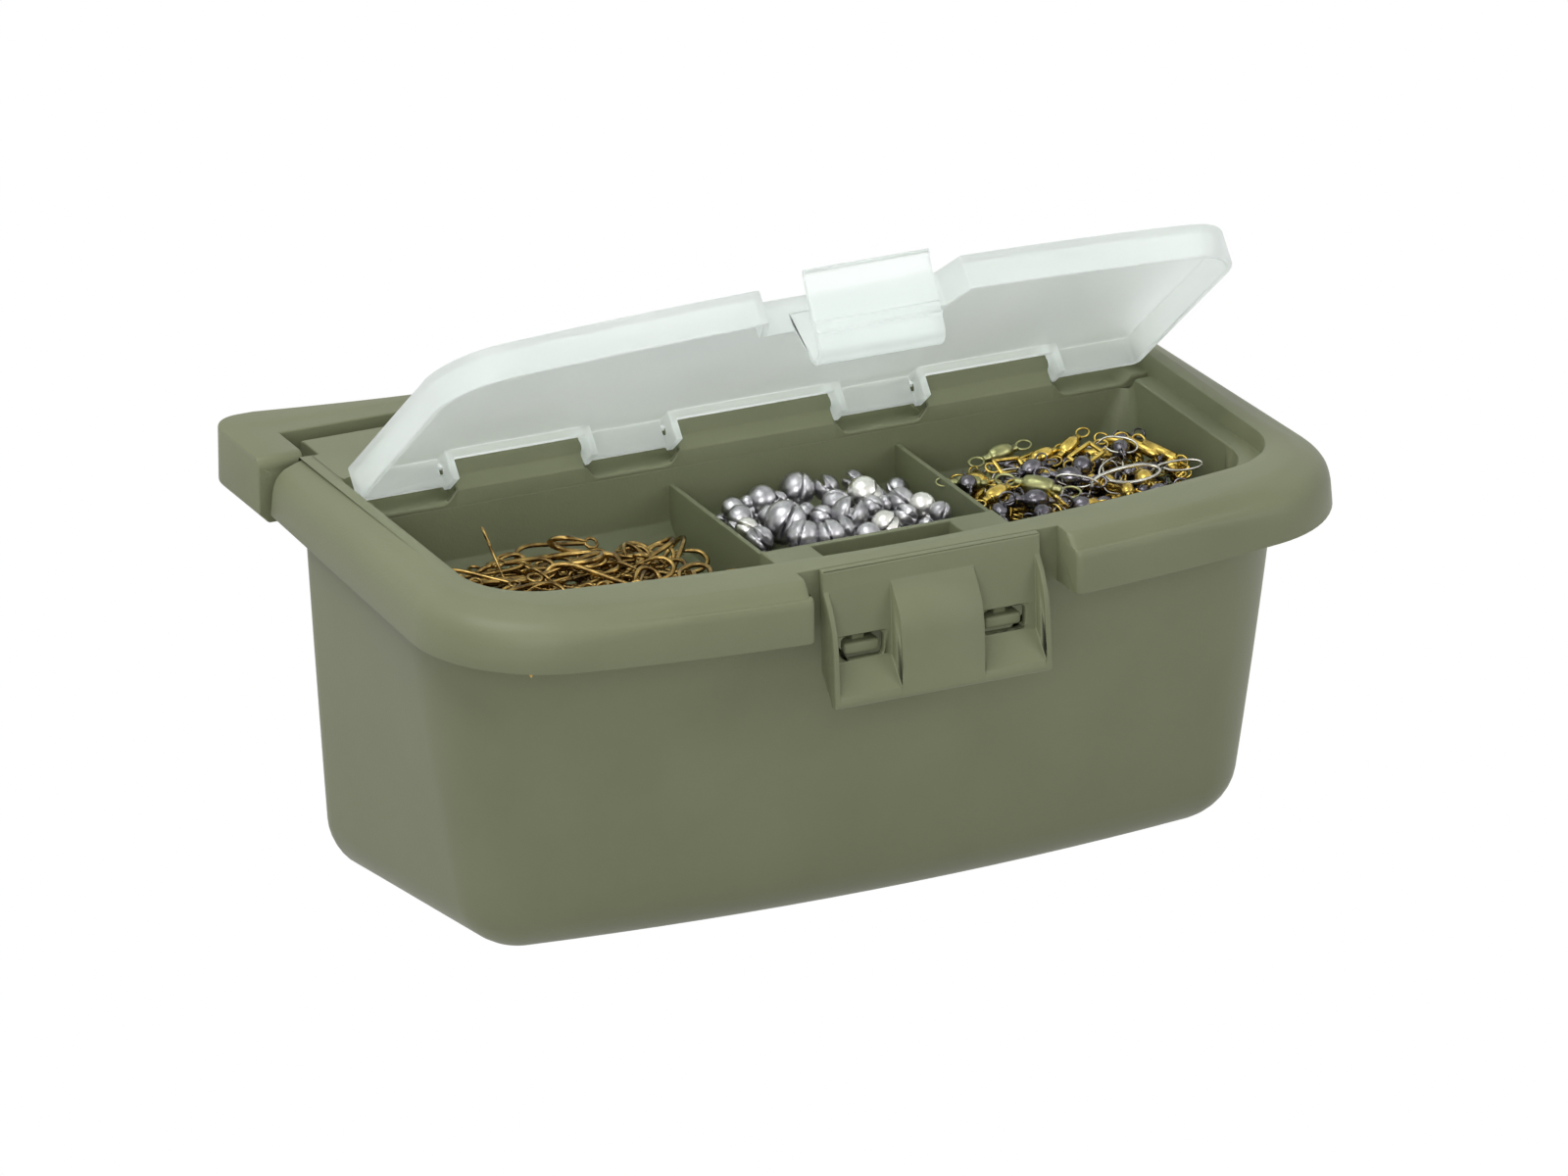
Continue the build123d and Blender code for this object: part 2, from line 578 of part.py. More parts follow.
# Swivels: faceted barrels with a wire eye at each end, in layers in the right compartment
swivel_groups = (
    ("swivels_brass", 0, 35.0, -27.0, 21.0, 16.0, 3, 3, 0),
    ("swivels_black", 1, 37.0, -27.0, 21.0, 16.0, 3, 3, 90),
    ("swivels_olive", 2, 37.0, -27.0, 42.0, 32.0, 2, 2, 0),
)
for name, level, x_start, y_start, x_step, y_step, columns, rows, angle in swivel_groups:
    with BuildPart() as swivel_part:
        z = tray_floor_z + level * swivel_size
        with BuildSketch(Plane.XY.offset(z + swivel_size / 2 - 0.5)):
            for i in range(columns):
                for j in range(rows):
                    x = x_start + i * x_step
                    y = y_start + j * y_step
                    for end in (-4.1, 4.1):
                        ex, ey = turned([(end, 0)], angle, x, y)[0]
                        add(ring_face(2.0, 1.1, angle, ex, ey))
        extrude(amount=1.0)
        with BuildSketch(Plane.XY.offset(z)):
            for i in range(columns):
                for j in range(rows):
                    x = x_start + i * x_step
                    y = y_start + j * y_step
                    add(polygon(turned([(-2.6, -1.1), (-1.4, -1.9), (1.4, -1.9), (2.6, -1.1),
                                        (2.6, 1.1), (1.4, 1.9), (-1.4, 1.9), (-2.6, 1.1)], angle, x, y)))
        extrude(amount=swivel_size)
    swivel_part.part.label = name
    export_step(swivel_part.part, "parts/" + name + ".step")

# Snaps: bent wire clips lying on the swivels
snap_line = [(0, 0), (2.0, 1.9), (8.0, 1.9), (10.0, 0.0), (8.0, -1.9), (3.4, -1.9)]
with BuildPart() as snap_clips:
    with BuildSketch(Plane.XY.offset(tray_floor_z + 3 * swivel_size)):
        for x, y, angle in ((31.3, -25.1, 0), (75.3, 0.3, 70), (83.7, -30.7, 160)):
            add(polygon(turned(ribbon(snap_line, snap_wire), angle, x, y)))
    extrude(amount=snap_wire)
snap_clips.part.label = "snap_clips"
export_step(snap_clips.part, "parts/snap_clips.step")
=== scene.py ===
import math
import random

import bmesh
import bpy
from mathutils import Matrix, Vector
from mathutils.bvhtree import BVHTree


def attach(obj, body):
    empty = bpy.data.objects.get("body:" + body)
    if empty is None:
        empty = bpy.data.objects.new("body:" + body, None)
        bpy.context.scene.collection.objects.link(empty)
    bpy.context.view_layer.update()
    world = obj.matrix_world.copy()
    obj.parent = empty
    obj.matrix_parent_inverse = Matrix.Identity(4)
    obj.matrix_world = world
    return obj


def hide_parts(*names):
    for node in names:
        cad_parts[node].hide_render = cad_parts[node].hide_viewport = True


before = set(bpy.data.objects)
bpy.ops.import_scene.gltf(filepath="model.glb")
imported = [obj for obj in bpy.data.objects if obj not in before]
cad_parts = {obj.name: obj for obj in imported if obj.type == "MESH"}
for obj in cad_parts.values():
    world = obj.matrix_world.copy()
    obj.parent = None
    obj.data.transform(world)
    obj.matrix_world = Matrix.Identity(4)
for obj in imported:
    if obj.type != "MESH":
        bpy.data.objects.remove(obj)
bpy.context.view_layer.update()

# Studio: a plain pale floor, a white surround and soft lamps. The camera stands to the left front,
# a little above the box, as for the photograph.
scene = bpy.context.scene
scene.view_settings.view_transform = "Standard"

right = Vector((0.89894, -0.43807, 0.0))
up = Vector((0.16439, 0.33734, 0.92692))
ahead = Vector((0.40606, 0.83324, -0.37527))
looked_at = Vector((0, -0.05, 0.09))
distance = 2.97172
step_left = 0.02756
step_down = 0.01025
camera_data = bpy.data.cameras.new("camera")
camera_data.sensor_width = 36.0
camera_data.lens = 322.95
camera_data.clip_end = 20.0
camera = bpy.data.objects.new("camera", camera_data)
scene.collection.objects.link(camera)
stand = looked_at - ahead * distance - right * step_left - up * step_down
camera.matrix_world = Matrix.Translation(stand) @ Matrix((right, up, -ahead)).transposed().to_4x4()
scene.camera = camera


def seen_directly(nodes, links):
    """Output that is 1 for camera, glossy and transmitted rays and 0 for the light on the object."""
    rays = nodes.new("ShaderNodeLightPath")
    first = nodes.new("ShaderNodeMath")
    first.operation = "MAXIMUM"
    links.new(rays.outputs["Is Camera Ray"], first.inputs[0])
    links.new(rays.outputs["Is Transmission Ray"], first.inputs[1])
    second = nodes.new("ShaderNodeMath")
    second.operation = "MAXIMUM"
    links.new(first.outputs[0], second.inputs[0])
    links.new(rays.outputs["Is Glossy Ray"], second.inputs[1])
    return second.outputs[0]


world = bpy.data.worlds.new("surround")
world.use_nodes = True
scene.world = world
nodes = world.node_tree.nodes
links = world.node_tree.links
nodes.clear()
ambient = nodes.new("ShaderNodeBackground")
ambient.inputs["Color"].default_value = (0.95, 0.97, 1.0, 1)
ambient.inputs["Strength"].default_value = 0.30
white = nodes.new("ShaderNodeBackground")
white.inputs["Color"].default_value = (1, 1, 1, 1)
white.inputs["Strength"].default_value = 1.0
mixer = nodes.new("ShaderNodeMixShader")
links.new(seen_directly(nodes, links), mixer.inputs[0])
links.new(ambient.outputs[0], mixer.inputs[1])
links.new(white.outputs[0], mixer.inputs[2])
out = nodes.new("ShaderNodeOutputWorld")
links.new(mixer.outputs[0], out.inputs[0])

floor_radius = 3.0
floor_gap = 0.0005
floor_mesh = bpy.data.meshes.new("floor")
shape = bmesh.new()
bmesh.ops.create_circle(shape, cap_ends=True, segments=64, radius=floor_radius)
bmesh.ops.translate(shape, vec=(0, 0, -floor_gap), verts=shape.verts)
shape.to_mesh(floor_mesh)
shape.free()
floor = bpy.data.objects.new("floor", floor_mesh)
scene.collection.objects.link(floor)
pale = bpy.data.materials.new("pale_floor")
pale.use_nodes = True
nodes = pale.node_tree.nodes
links = pale.node_tree.links
nodes.clear()
matt = nodes.new("ShaderNodeBsdfDiffuse")
matt.inputs["Color"].default_value = (0.62, 0.62, 0.62, 1)
lit = nodes.new("ShaderNodeEmission")
lit.inputs["Color"].default_value = (1, 1, 1, 1)
lit.inputs["Strength"].default_value = 1.0
mixer = nodes.new("ShaderNodeMixShader")
links.new(seen_directly(nodes, links), mixer.inputs[0])
links.new(matt.outputs[0], mixer.inputs[1])
links.new(lit.outputs[0], mixer.inputs[2])
out = nodes.new("ShaderNodeOutputMaterial")
links.new(mixer.outputs[0], out.inputs[0])
floor.data.materials.append(pale)


def soft_lamp(name, place, power):
    """Square lamp that points at the middle of the box."""
    data = bpy.data.lights.new(name, "AREA")
    data.size = 0.8
    data.energy = power
    lamp = bpy.data.objects.new(name, data)
    scene.collection.objects.link(lamp)
    lamp.location = place
    lamp.rotation_euler = (Vector((0, 0, 0.05)) - Vector(place)).to_track_quat("-Z", "Y").to_euler()


soft_lamp("overhead", (-0.55, -0.05, 1.25), 11.5)
soft_lamp("front_left", (-0.9, -1.4, 0.65), 9.0)
soft_lamp("front_right", (1.1, -1.2, 0.55), 5.6)

# Bin: an injection-moulded tub of olive plastic with a fine satin grain, a rounded foot and drafted
# walls. The rim flange, the two catches and the loop for a belt are moulded with it.
mm = 0.001


def new_material(name):
    """Material with nodes, whose sockets are reached through surface."""
    mat = bpy.data.materials.new(name)
    mat.use_nodes = True
    return mat


def surface(mat):
    """Sockets of the material's surface."""
    return mat.node_tree.nodes["Principled BSDF"].inputs


def noise(mat, scale, detail=2.0):
    """Noise pattern that is fixed to the piece."""
    coords = mat.node_tree.nodes.new("ShaderNodeTexCoord")
    pattern = mat.node_tree.nodes.new("ShaderNodeTexNoise")
    pattern.inputs["Scale"].default_value = scale
    pattern.inputs["Detail"].default_value = detail
    mat.node_tree.links.new(coords.outputs["Object"], pattern.inputs["Vector"])
    return pattern.outputs["Fac"]


def tint(mat, pattern, dark, light, dark_end=0.0, light_end=1.0):
    """Vary the colour between dark and light with the pattern."""
    ramp = mat.node_tree.nodes.new("ShaderNodeValToRGB")
    ramp.color_ramp.elements[0].position = dark_end
    ramp.color_ramp.elements[0].color = (*dark, 1)
    ramp.color_ramp.elements[1].position = light_end
    ramp.color_ramp.elements[1].color = (*light, 1)
    mat.node_tree.links.new(pattern, ramp.inputs["Fac"])
    mat.node_tree.links.new(ramp.outputs["Color"], surface(mat)["Base Color"])


def vary_roughness(mat, pattern, low, high):
    """Vary the roughness from low, where the pattern is 0, to high, where it is 1."""
    spread = mat.node_tree.nodes.new("ShaderNodeMapRange")
    spread.inputs["To Min"].default_value = low
    spread.inputs["To Max"].default_value = high
    mat.node_tree.links.new(pattern, spread.inputs["Value"])
    mat.node_tree.links.new(spread.outputs["Result"], surface(mat)["Roughness"])


def raise_grain(mat, pattern, strength, height):
    """Give the surface a grain, height metres high."""
    bump = mat.node_tree.nodes.new("ShaderNodeBump")
    bump.inputs["Strength"].default_value = strength
    bump.inputs["Distance"].default_value = height
    mat.node_tree.links.new(pattern, bump.inputs["Height"])
    mat.node_tree.links.new(bump.outputs["Normal"], surface(mat)["Normal"])


def merged_copy(node):
    """The CAD node's triangles joined into one surface."""
    weld_distance = 0.000002
    shape = bmesh.new()
    shape.from_mesh(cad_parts[node].data)
    bmesh.ops.remove_doubles(shape, verts=shape.verts, dist=weld_distance)
    return shape


def flat_faces(shape):
    """Join the triangles that lie in one plane."""
    bmesh.ops.dissolve_limit(shape, angle_limit=math.radians(0.5), use_dissolve_boundaries=False,
                             verts=shape.verts, edges=shape.edges)


def make_piece(shape, name, material):
    """Turn the finished shape into a smoothly shaded piece."""
    mesh = bpy.data.meshes.new(name)
    for face in shape.faces:
        face.smooth = True
    shape.to_mesh(mesh)
    shape.free()
    mesh.materials.append(material)
    piece = bpy.data.objects.new(name, mesh)
    scene.collection.objects.link(piece)
    return piece


def finish_moulding(shape, name, body, material, edge, turn=32):
    """Make the piece: edges sharper than turn degrees are rounded by edge metres, or stay crisp at 0."""
    if not edge:
        for line in shape.edges:
            line.smooth = len(line.link_faces) == 2 and line.calc_face_angle() < math.radians(turn)
    piece = make_piece(shape, name, material)
    if edge:
        bevel = piece.modifiers.new("edge", "BEVEL")
        bevel.width = edge
        bevel.segments = 2
        bevel.limit_method = "ANGLE"
        bevel.angle_limit = math.radians(turn)
        bevel.use_clamp_overlap = False
        bevel.harden_normals = True
    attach(piece, body)
    return piece


def to_metres(shape):
    """Bring a shape made in millimetres to the frame's metres."""
    bmesh.ops.scale(shape, vec=(mm, mm, mm), verts=shape.verts)


def sweep(shape, rows, closed):
    """Join rows of places into one skin and return its last row.

    A closed row is a ring, and the first ring is capped.
    """
    row = [shape.verts.new(place) for place in rows[0]]
    ends = row[1:] + row[:1] if closed else row[1:]
    edges = [shape.edges.new(pair) for pair in zip(row, ends)]
    if closed:
        shape.faces.new(row)
    for places in rows[1:]:
        grown = bmesh.ops.extrude_edge_only(shape, edges=edges)["geom"]
        edges = [g for g in grown if isinstance(g, bmesh.types.BMEdge)]
        shape.verts.ensure_lookup_table()
        row = shape.verts[-len(places):]
        for vert, place in zip(row, places):
            vert.co = place
    return row


def add_block(shape, size, middle):
    """Add a square block in millimetres and return its vertices."""
    corners = bmesh.ops.create_cube(shape, size=1.0)["verts"]
    bmesh.ops.scale(shape, vec=size, verts=corners)
    bmesh.ops.translate(shape, vec=middle, verts=corners)
    return corners


tub_height = 83.3
# Each pair of sizes, in millimetres, holds at the foot and at the top of the tub.
front_y = (-35.6, -49.1)
rear_y = (40.2, 45.0)
half_front_x = (89.7, 102.9)
half_rear_x = (99.7, 101.5)
front_corner = (12.5, 31.3)
front_bow = 573.0
rear_corner = 8.0
foot_round = 12.0


def tub_ring(z, inset):
    """Outline of the tub in millimetres at height z: bowed front, slanted sides, rounded corners."""
    share = z / tub_height
    front = front_y[0] + (front_y[1] - front_y[0]) * share + inset
    rear = rear_y[0] + (rear_y[1] - rear_y[0]) * share - inset
    half_front = half_front_x[0] + (half_front_x[1] - half_front_x[0]) * share - inset
    half_rear = half_rear_x[0] + (half_rear_x[1] - half_rear_x[0]) * share - inset
    front_round = front_corner[0] + (front_corner[1] - front_corner[0]) * share - inset
    rear_round = max(rear_corner - inset, 2.5)
    bow = front_bow - inset
    bow_centre = Vector((0, front + bow))
    start = Vector((half_front, front + bow - math.sqrt(bow**2 - half_front**2)))
    along = (Vector((half_rear, rear)) - start).normalized()
    outward = Vector((along.y, -along.x))
    reach = outward.dot(start)
    base = outward * (reach - front_round) - bow_centre
    slide = -base.dot(along) - math.sqrt(base.dot(along)**2 - base.dot(base) + (bow - front_round)**2)
    corner = bow_centre + base + along * slide
    first = math.atan2(corner.y - bow_centre.y, corner.x)
    last = math.atan2(outward.y, outward.x)
    back_x = (reach - rear_round - outward.y * (rear - rear_round)) / outward.x
    back = Vector((back_x, rear - rear_round))
    half = []
    for i in range(8):
        a = -math.pi / 2 + (first + math.pi / 2) * i / 8
        half.append(bow_centre + bow * Vector((math.cos(a), math.sin(a))))
    for i in range(13):
        a = first + (last - first) * i / 12
        half.append(corner + front_round * Vector((math.cos(a), math.sin(a))))
    gap = back + rear_round * outward - half[-1]
    half += [half[-1] + gap * i / 5 for i in range(1, 5)]
    for i in range(9):
        a = last + (math.pi / 2 - last) * i / 8
        half.append(back + rear_round * Vector((math.cos(a), math.sin(a))))
    half += [Vector((back.x * (1 - i / 6), rear)) for i in range(1, 7)]
    return [(p.x, p.y, z) for p in half] + [(-p.x, p.y, z) for p in half[-2:0:-1]]


olive_plastic = new_material("olive_plastic")
surface(olive_plastic)["Specular IOR Level"].default_value = 0.3
mottle = noise(olive_plastic, scale=42.0, detail=6.0)
tint(olive_plastic, mottle, dark=(0.172, 0.186, 0.105), light=(0.190, 0.205, 0.118), dark_end=0.32,
     light_end=0.72)
vary_roughness(olive_plastic, mottle, low=0.40, high=0.54)
raise_grain(olive_plastic, noise(olive_plastic, scale=1900.0, detail=3.0), strength=0.22, height=0.2 * mm)

# Height and inset of the tub's rings: close together round the foot, then up the wall.
levels = []
for i in range(10):
    turn = math.radians(90 * i / 9)
    levels.append((foot_round * (1 - math.cos(turn)), foot_round * (1 - math.sin(turn))))
levels += [(z, 0.0) for z in (24.0, 38.0, 52.0, 66.0, 82.0)]
tub = bmesh.new()
sweep(tub, [tub_ring(z, inset) for z, inset in levels], closed=True)
to_metres(tub)
bmesh.ops.recalc_face_normals(tub, faces=tub.faces)
tub_skin = BVHTree.FromBMesh(tub)

# The CAD bin keeps its flange, loop and inner walls. Its plainer catches and its outer skin, which
# lies just under the new tub, are taken off the copy.


def on_old_catch(vert):
    """Whether the vertex belongs to one of the CAD's catches, which hang in front under the flange."""
    return (vert.co.y < -46.0 * mm and 10.0 * mm < abs(vert.co.x) < 23.5 * mm
            and 69.0 * mm < vert.co.z < 83.4 * mm)


shape = merged_copy("bin")
old_catches = [f for f in shape.faces if all(on_old_catch(v) for v in f.verts)]
bmesh.ops.delete(shape, geom=old_catches, context="FACES")
shape.normal_update()
# A face is the old skin if all of it lies near the tub. Below the flange it may lie farther from it
# where it also faces the same way.
flange_underside = 80.9 * mm
near = 0.6 * mm
near_if_alike = 1.5 * mm
alike = 0.6
old_skin = []
for face in shape.faces:
    places = [v.co for v in face.verts] + [face.calc_center_median()]
    found = [tub_skin.find_nearest(p) for p in places]
    same_side = found[-1][1].dot(face.normal) > alike and max(p.z for p in places) < flange_underside
    if max(hit[3] for hit in found) < (near_if_alike if same_side else near):
        old_skin.append(face)
bmesh.ops.delete(shape, geom=old_skin, context="FACES")
flat_faces(shape)
bin_piece = finish_moulding(shape, "bin_moulding", "bin", olive_plastic, edge=0.4 * mm)
finish_moulding(tub, "bin_tub", "bin", olive_plastic, edge=0.4 * mm, turn=50)
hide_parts("bin")

catch_x = 16.7
bar_size = (8.6, 5.0, 2.7)
stem_size = (3.0, 8.0, 10.0)
for name, x in (("catch_left", -catch_x), ("catch_right", catch_x)):
    catch = bmesh.new()
    for size, middle, edge in ((bar_size, (x, -56.3, 71.7), 0.7), (stem_size, (x, -53.0, 77.4), 0.4)):
        block = add_block(catch, size, middle)
        rims = list(dict.fromkeys(e for v in block for e in v.link_edges))
        bmesh.ops.bevel(catch, geom=rims, offset=edge, segments=3, profile=0.5, affect="EDGES", material=-1)
    to_metres(catch)
    finish_moulding(catch, name, "bin", olive_plastic, edge=0.1 * mm, turn=60)

# Tray lid: one injection moulding in the same olive plastic, hinged between the arms of the bin's
# loop. Its rim has a flat deck, a soft hollow and a rounded bead along the front, and a big soft
# rounding at the corners and sides. Each lip is (depth from the skirt, height over the deck).
front_lip = ((9.0, 0.0), (6.2, 0.0), (5.0, -0.15), (4.1, -0.7), (3.3, -1.6), (2.7, -2.45), (2.1, -2.85),
             (1.6, -2.75), (1.1, -2.6), (0.5, -2.8), (0.12, -3.5), (0.0, -4.6))
side_lip = ((9.6, -0.03), (8.2, -0.35), (6.9, -0.9), (5.6, -1.3), (4.4, -1.75), (3.3, -2.2),
            (2.5, -2.85), (1.8, -3.6), (1.2, -4.5), (0.75, -5.7), (0.45, -7.2), (0.3, -8.6))
skirt_foot = ((0.0, -12.05), (0.15, -12.38), (0.5, -12.5), (1.7, -12.5), (2.05, -12.38), (2.2, -12.05))
under_rim = ((2.2, -7.0), (4.6, -4.8), (8.0, -2.8))
deck_z = 90.0
bead_half = 100.0
bead_fade = 45.0
compartments_end = 35.0


def rim_ring(inner, outer, form):
    """Closed section of the rim in millimetres, from its inner wall over the deck to the skirt.

    form is "open" for the hollow skirt, "end" for its closed end and "latch" for the narrow deck
    behind the latch. The bead of the front fades out towards the soft sides.
    """
    inner = Vector(inner)
    outer = Vector(outer)
    fade = min(max((bead_half - abs(outer.x)) / bead_fade, 0.0), 1.0)
    bead = fade * fade * (3 - 2 * fade)
    width = (outer - inner).length
    out = (outer - inner) / width
    points = [(0, -6.5), (0, -0.5), (0.15, -0.15), (0.5, 0), (3.0, 0)]
    if inner.y > compartments_end:
        points = [(-2.5, -6.5), (-1.8, -1.6), (-1.0, -0.5), (-0.4, -0.08), (3.0, 0)]
    if form == "latch":
        lip = [(0.12, 0.0), (0.0, -0.12)] + [(0.0, -0.4 - 0.25 * i) for i in range(10)]
        foot = [(0.3 * i, -3.0) for i in range(6)]
        under = [(1.8, -2.95), (2.1, -2.9), (2.4, -2.8)]
    else:
        lip = []
        for soft, round_bead in zip(side_lip, front_lip):
            depth = soft[0] + (round_bead[0] - soft[0]) * bead
            lip.append((min(depth, width - 0.6), soft[1] + (round_bead[1] - soft[1]) * bead))
        foot = list(skirt_foot)
        under = [(min(d, width - 3.6), z) for d, z in under_rim]
    if form == "end":
        plate = width - 6.2
        foot[3:] = [(plate - 0.5, -12.5), (plate - 0.15, -12.38), (plate, -12.05)]
        under = [(plate, -9.0), (plate, -6.0), (plate, -3.2)]
    points += [(width - d, z) for d, z in lip + foot + under]
    points += [(3.2, -2.6), (1.8, -2.9), (1.8, -6.5)]
    return [(inner.x + out.x * o, inner.y + out.y * o, deck_z + z) for o, z in points]


deck_bow = 410.0
skirt_bow = 427.0
bow_centre_y = 360.0
corner_x = 77.0
corner_turn = 78.7
deck_corner = 17.5
deck_corner_y = -24.9
skirt_corner = 30.2
skirt_corner_y = -29.3
deck_side_x = 94.5
skirt_rear_x = 104.3
side_start_y = 50.2
deck_front_x = 80.4
skirt_front_x = 82.9
front_end_x = 33.6
latch_y = -56.0


def bowed_front(x, radius):
    """Y in millimetres of the rim's bowed front at x."""
    return bow_centre_y - math.sqrt(radius**2 - x**2)


# The stations run from the right rear corner down that side and along the front to the middle. The
# left half mirrors them.
stations = []
for y in (side_start_y, 42.0, 35.2, 34.6, 26.0, 17.0, 8.0, 0.0, -8.0, -16.0):
    share = (side_start_y - y) / (side_start_y - deck_corner_y)
    skirt_x = skirt_rear_x + (corner_x + skirt_corner - skirt_rear_x) * share
    skirt_y = side_start_y + (skirt_corner_y - side_start_y) * share
    stations.append(((deck_side_x, y), (skirt_x, skirt_y), "open"))
for i in range(17):
    a = math.radians(-corner_turn * i / 16)
    deck = (corner_x + deck_corner * math.cos(a), deck_corner_y + deck_corner * math.sin(a))
    skirt = (corner_x + skirt_corner * math.cos(a), skirt_corner_y + skirt_corner * math.sin(a))
    stations.append((deck, skirt, "open"))
for i in range(1, 13):
    deck_x = deck_front_x + (front_end_x - deck_front_x) * i / 12
    skirt_x = skirt_front_x + (front_end_x - skirt_front_x) * i / 12
    deck = (deck_x, bowed_front(deck_x, deck_bow))
    skirt = (skirt_x, bowed_front(skirt_x, skirt_bow))
    stations.append((deck, skirt, "open"))
for x, rounding in ((32.4, 0.0), (31.8, 0.12), (31.3, 0.4), (30.95, 0.8), (30.8, 1.3)):
    stations.append(((x, bowed_front(x, deck_bow)), (x, bowed_front(x, skirt_bow) + rounding), "end"))
for x in (30.78, 24.0, 16.0, 8.0):
    stations.append(((x, bowed_front(x, deck_bow)), (x, latch_y), "latch"))
mirrored = [((-deck[0], deck[1]), (-skirt[0], skirt[1]), form) for deck, skirt, form in reversed(stations)]
stations += [((0, bowed_front(0, deck_bow)), (0, latch_y), "latch")] + mirrored

rim = bmesh.new()
last_row = sweep(rim, [rim_ring(deck, skirt, form) for deck, skirt, form in stations], closed=True)
rim.faces.new(last_row)
# A thin cheek to either side of the latch's middle closes the lid's front down to the bin's flange.
cheek_size = (7.2, 0.45, 10.2)
for x in (-27.6, 27.6):
    add_block(rim, cheek_size, (x, -55.71, 82.7))
to_metres(rim)
bmesh.ops.recalc_face_normals(rim, faces=rim.faces)


def beyond_deck_edge(place):
    """Distance in millimetres from the deck's inner edge, towards the skirt."""
    x = abs(place.x) / mm
    y = place.y / mm
    if y > deck_corner_y:
        return x - deck_side_x
    if x > corner_x and math.degrees(math.atan2(deck_corner_y - y, x - corner_x)) < corner_turn:
        return math.hypot(x - corner_x, y - deck_corner_y) - deck_corner
    return math.hypot(x, y - bow_centre_y) - deck_bow


# The CAD tray lid keeps its underside, slot, hinge studs and rear deck. Its underside follows the
# compartments' rear wall, and its rim and compartments make way for the new ones. Cuts along the new
# edges come first, so that every face lies wholly on one side of them.
trough_half = 90.0
trough_front = -20.0
trough_back = 25.7
old_divider_x = 27.0
old_divider_half = 0.6
old_divider_front = -32.1
shape = merged_copy("tray_lid")
for place, along in (((-deck_side_x * mm, 0, 0), (1, 0, 0)), ((deck_side_x * mm, 0, 0), (1, 0, 0)),
                     ((0, trough_front * mm, 0), (0, 1, 0)), ((0, old_divider_front * mm, 0), (0, 1, 0))):
    bmesh.ops.bisect_plane(shape, geom=shape.verts[:] + shape.edges[:] + shape.faces[:],
                           plane_co=place, plane_no=along)
wall_moves_back = 14.2
old_wall = [v for v in shape.verts
            if 8.5 * mm < v.co.y < 13.6 * mm and v.co.z < 83.5 * mm and abs(v.co.x) < 92.1 * mm]
bmesh.ops.translate(shape, vec=(0, wall_moves_back * mm, 0), verts=old_wall)
old_rim = [f for f in shape.faces if all(beyond_deck_edge(v.co) > -0.03 for v in f.verts)]
bmesh.ops.delete(shape, geom=old_rim, context="FACES")

hinge_y = 30.2
hinge_z = 89.8
stud_radius = 1.2
old_floor_z = 67.0
slack = 0.1


def gives_way_to_compartments(face):
    """Whether the new compartments take the place of this face of the tray."""
    middle = face.calc_center_median() / mm
    places = [v.co / mm for v in face.verts]
    front = min(p.y for p in places)
    on_divider = all(abs(abs(p.x) - old_divider_x) < old_divider_half + slack for p in places)
    if on_divider and front > old_divider_front - slack and middle.y < 30.0:
        return True
    if front < trough_front - slack or middle.y > compartments_end + slack or middle.z < old_floor_z - slack:
        return False
    inside = all(abs(p.x) < trough_half + slack / 2 and p.y < trough_back + slack / 2 for p in places)
    on_stud = math.hypot(middle.y - hinge_y, middle.z - hinge_z) < stud_radius + slack
    return not on_stud and (inside or face.normal.z > 0.02 or middle.z > 84.5)


shape.normal_update()
bmesh.ops.delete(shape, geom=[f for f in shape.faces if gives_way_to_compartments(f)], context="FACES")
flat_faces(shape)
tray_piece = finish_moulding(shape, "tray_lid_moulding", "tray_lid", olive_plastic,
                             edge=0.4 * mm)
finish_moulding(rim, "tray_lid_rim", "tray_lid", olive_plastic, edge=0, turn=40)
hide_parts("tray_lid")

# Compartments of the tray lid, moulded in one with it: an open trough with a scooped back, parted by
# two thin dividers. Behind it the blocks for the clear lid's hinge rise between the pockets for its
# tabs. Each row of the trough's wall is (height, inset, corner radius).
wall_rows = ((85.6, -4.5, 3.0), (85.6, -0.2, 3.0), (85.4, 0.0, 3.0), (80.0, 0.1, 5.0), (74.0, 0.3, 9.0),
             (71.0, 0.7, 10.0), (69.2, 1.9, 10.0), (67.8, 3.8, 10.0), (67.1, 6.6, 10.0))
rear_wall_top = 83.0
floor_z = 67.06


def wall_row(z, inset, corner):
    """Row of the trough's wall, open at the front, that dips to the rear wall's top behind."""
    back_z = min(z, rear_wall_top)
    side_x = trough_half - inset
    back_y = trough_back - max(inset, -1.0)
    half = [Vector((side_x, trough_front + (back_y - corner - trough_front) * i / 6, z)) for i in range(7)]
    for i in range(1, 9):
        a = math.radians(90 * i / 8)
        half.append(Vector((side_x - corner + corner * math.cos(a), back_y - corner + corner * math.sin(a),
                            z + (back_z - z) * min(i / 3, 1.0))))
    half += [Vector(((side_x - corner) * (1 - i / 8), back_y, back_z)) for i in range(1, 9)]
    return half + [Vector((-p.x, p.y, p.z)) for p in half[-2::-1]]


def face_up(shape, first_face):
    """Turn the open skin of the faces from first_face on, so that it looks up out of the trough."""
    shape.faces.ensure_lookup_table()
    skin = shape.faces[first_face:]
    bmesh.ops.recalc_face_normals(shape, faces=skin)
    shape.normal_update()
    if sum(f.normal.z * f.calc_area() for f in skin) < 0:
        bmesh.ops.reverse_faces(shape, faces=skin)


